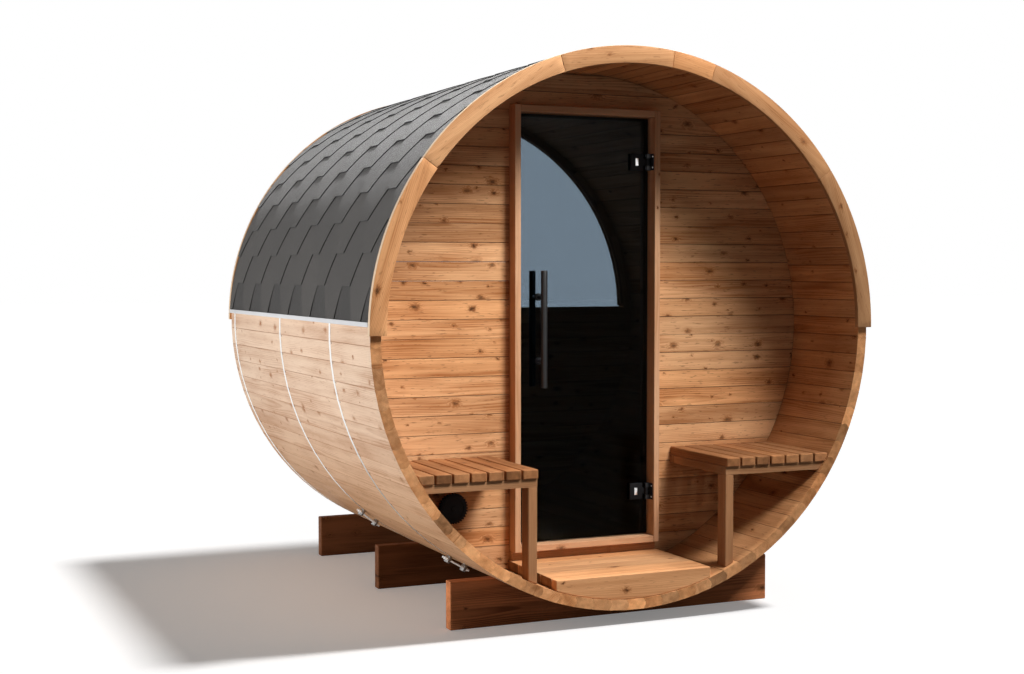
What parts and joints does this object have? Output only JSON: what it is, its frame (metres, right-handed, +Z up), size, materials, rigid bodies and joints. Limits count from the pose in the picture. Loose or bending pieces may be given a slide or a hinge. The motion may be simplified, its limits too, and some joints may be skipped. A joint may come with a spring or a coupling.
{
  "type": "barrel sauna",
  "caption": "Barrel-shaped outdoor sauna cabin of staves on cradles, with a shingled upper half, an open porch with side benches, a swinging glass door and a half-moon back window.",
  "frame": {"origin": "on the ground under the middle of the barrel, at the centre of the footprint", "axes": "+Z up, the barrel's axis along Y with the porch and door facing -Y, +X to the right seen from the front"},
  "size_m": [2.2816, 2.1856, 2.3253],
  "materials": {
    "stave_wood": "planed, unvarnished",
    "wall_wood": "planed boards",
    "trim_wood": "planed, oiled",
    "floor_wood": "planed boards",
    "cradle_wood": "dark stained, sawn",
    "smoked_glass": "polished, smoked",
    "window_glass": "polished",
    "black_metal": "black satin",
    "band_steel": "bright, brushed",
    "eave_metal": "pale grey, satin",
    "shingle": "dark grey mineral grit on bitumen"
  },
  "bodies": {
    "barrel": {"staves_right": "stave_wood", "staves_upper_right": "stave_wood", "staves_crown": "stave_wood", "staves_upper_left": "stave_wood", "staves_left": "stave_wood", "staves_lower_left": "stave_wood", "staves_bottom": "stave_wood", "staves_lower_right": "stave_wood", "front_wall_left": "wall_wood", "front_wall_right": "wall_wood", "front_wall_over_door": "wall_wood", "front_wall_under_door": "wall_wood", "door_jambs": "trim_wood", "door_head": "trim_wood", "door_sill": "trim_wood", "door_threshold": "trim_wood", "door_stops": "trim_wood", "hinge_brackets": "black_metal", "air_vent": "black_metal", "back_wall_lower": "wall_wood", "back_wall_arch": "wall_wood", "back_window": "window_glass", "window_beads": "trim_wood", "porch_floor": "floor_wood", "porch_floor_bearers": "floor_wood", "room_floor": "floor_wood", "room_floor_bearers": "floor_wood", "bench_left_slats": "floor_wood", "bench_left_frame": "trim_wood", "bench_right_slats": "floor_wood", "bench_right_frame": "trim_wood", "front_fascia": "trim_wood", "rear_fascia": "trim_wood", "roof_left": "shingle", "roof_right": "shingle", "eave_strips": "eave_metal", "steel_bands": "band_steel", "band_tensioners": "band_steel", "cradle_front": "cradle_wood", "cradle_middle": "cradle_wood", "cradle_rear": "cradle_wood"},
    "door": {"door_glass": "smoked_glass", "door_handle_outside": "black_metal", "door_handle_inside": "black_metal", "hinge_clamps": "black_metal"}
  },
  "joints": [
    {"name": "door_swing", "type": "hinge", "parent": "barrel", "child": "door", "pos_m": [0.305, -0.607, 1.1807], "axis": [0, 0, 1], "range_deg": [0, 95]}
  ]
}
